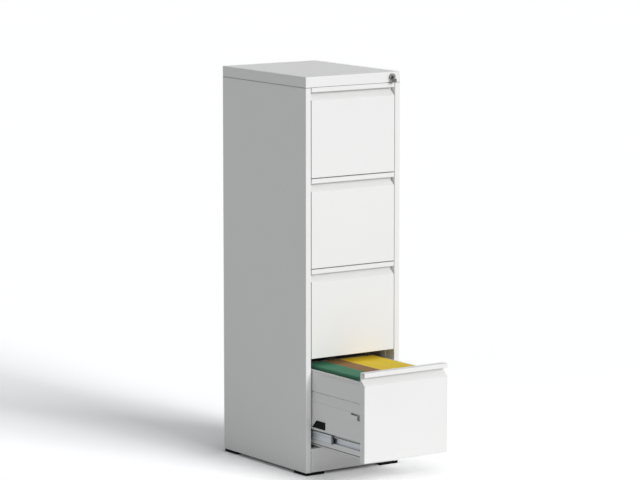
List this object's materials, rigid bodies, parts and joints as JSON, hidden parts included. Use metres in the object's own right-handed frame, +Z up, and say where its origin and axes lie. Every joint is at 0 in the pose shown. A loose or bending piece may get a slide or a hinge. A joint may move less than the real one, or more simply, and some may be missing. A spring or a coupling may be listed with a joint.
{
  "type": "vertical filing cabinet",
  "caption": "Tall vertical filing cabinet in folded sheet steel with a key lock, full-width finger lips and its bottom drawer open on telescopic slides, holding coloured hanging files.",
  "frame": {"origin": "on the floor, in the middle of the whole outline with the bottom drawer open as it stands", "axes": "+X to the right as seen from the front, +Y from the drawers' faces towards the cabinet's back, +Z up"},
  "size_m": [0.38, 0.802, 1.33],
  "materials": {
    "white_powder_coat": "satin",
    "zinc_steel": "satin",
    "nickel_plate": "polished",
    "black_plastic": "matte",
    "grey_plastic": "matte",
    "green_card": "matte",
    "brown_card": "matte",
    "yellow_card": "matte"
  },
  "bodies": {
    "cabinet": {"left_side_panel": "white_powder_coat", "right_side_panel": "white_powder_coat", "back_panel": "white_powder_coat", "top_cap": "white_powder_coat", "base_pan": "white_powder_coat", "plinth_panel": "white_powder_coat", "slide_uprights": "white_powder_coat", "outer_slides": "zinc_steel", "corner_feet": "black_plastic", "foot_screws": "zinc_steel", "panel_rivets": "zinc_steel", "lock_housing": "nickel_plate", "lock_nut": "nickel_plate", "bar_guides": "zinc_steel"},
    "bottom_drawer": {"bottom_front": "white_powder_coat", "bottom_liner": "white_powder_coat", "bottom_tray": "white_powder_coat", "bottom_tray_back": "white_powder_coat", "bottom_file_bars": "zinc_steel", "bottom_interlock_ramps": "black_plastic", "bottom_inner_slides": "zinc_steel", "green_files": "green_card", "brown_files": "brown_card", "yellow_files": "yellow_card", "file_hooks": "zinc_steel"},
    "bottom_runner": {"bottom_middle_slides": "zinc_steel", "bottom_bumpers": "black_plastic"},
    "lower_drawer": {"lower_front": "white_powder_coat", "lower_liner": "white_powder_coat", "lower_tray": "white_powder_coat", "lower_tray_back": "white_powder_coat", "lower_file_bars": "zinc_steel", "lower_interlock_ramps": "black_plastic", "lower_inner_slides": "zinc_steel"},
    "lower_runner": {"lower_middle_slides": "zinc_steel", "lower_bumpers": "black_plastic"},
    "upper_drawer": {"upper_front": "white_powder_coat", "upper_liner": "white_powder_coat", "upper_tray": "white_powder_coat", "upper_tray_back": "white_powder_coat", "upper_file_bars": "zinc_steel", "upper_interlock_ramps": "black_plastic", "upper_inner_slides": "zinc_steel"},
    "upper_runner": {"upper_middle_slides": "zinc_steel", "upper_bumpers": "black_plastic"},
    "top_drawer": {"top_front": "white_powder_coat", "top_liner": "white_powder_coat", "top_tray": "white_powder_coat", "top_tray_back": "white_powder_coat", "top_file_bars": "zinc_steel", "top_interlock_ramps": "black_plastic", "top_inner_slides": "zinc_steel"},
    "top_runner": {"top_middle_slides": "zinc_steel", "top_bumpers": "black_plastic"},
    "lock_plug": {"lock_barrel": "nickel_plate", "lock_cam": "zinc_steel", "key_blade": "nickel_plate"},
    "key_handle": {"key_tongue": "nickel_plate", "key_grip": "grey_plastic"},
    "lock_bar": {"locking_bar": "zinc_steel"}
  },
  "joints": [
    {"name": "bottom_drawer_slide", "type": "slide", "parent": "cabinet", "child": "bottom_drawer", "axis": [0, -1, 0], "range_m": [-0.302, 0.098]},
    {"name": "bottom_runner_slide", "type": "slide", "parent": "cabinet", "child": "bottom_runner", "axis": [0, -1, 0], "range_m": [-0.151, 0.049]},
    {"name": "lower_drawer_slide", "type": "slide", "parent": "cabinet", "child": "lower_drawer", "axis": [0, -1, 0], "range_m": [0, 0.4]},
    {"name": "lower_runner_slide", "type": "slide", "parent": "cabinet", "child": "lower_runner", "axis": [0, -1, 0], "range_m": [0, 0.2]},
    {"name": "upper_drawer_slide", "type": "slide", "parent": "cabinet", "child": "upper_drawer", "axis": [0, -1, 0], "range_m": [0, 0.4]},
    {"name": "upper_runner_slide", "type": "slide", "parent": "cabinet", "child": "upper_runner", "axis": [0, -1, 0], "range_m": [0, 0.2]},
    {"name": "top_drawer_slide", "type": "slide", "parent": "cabinet", "child": "top_drawer", "axis": [0, -1, 0], "range_m": [0, 0.4]},
    {"name": "top_runner_slide", "type": "slide", "parent": "cabinet", "child": "top_runner", "axis": [0, -1, 0], "range_m": [0, 0.2]},
    {"name": "lock_turn", "type": "hinge", "parent": "cabinet", "child": "lock_plug", "pos_m": [0.1545, -0.099, 1.314], "axis": [0, 1, 0], "range_deg": [0, 90]},
    {"name": "key_fold", "type": "hinge", "parent": "lock_plug", "child": "key_handle", "pos_m": [0.1545, -0.115, 1.314], "axis": [-1, 0, 0], "range_deg": [0, 90]},
    {"name": "lock_bar_slide", "type": "slide", "parent": "cabinet", "child": "lock_bar", "axis": [0, 0, -1], "range_m": [0, 0.016]}
  ],
  "couplings": [
    {"joint": "bottom_runner_slide", "follows": "bottom_drawer_slide", "ratio": 0.5},
    {"joint": "lower_runner_slide", "follows": "lower_drawer_slide", "ratio": 0.5},
    {"joint": "upper_runner_slide", "follows": "upper_drawer_slide", "ratio": 0.5},
    {"joint": "top_runner_slide", "follows": "top_drawer_slide", "ratio": 0.5},
    {"joint": "lock_turn", "follows": "lock_bar_slide", "rad_per_m": 98.17}
  ]
}
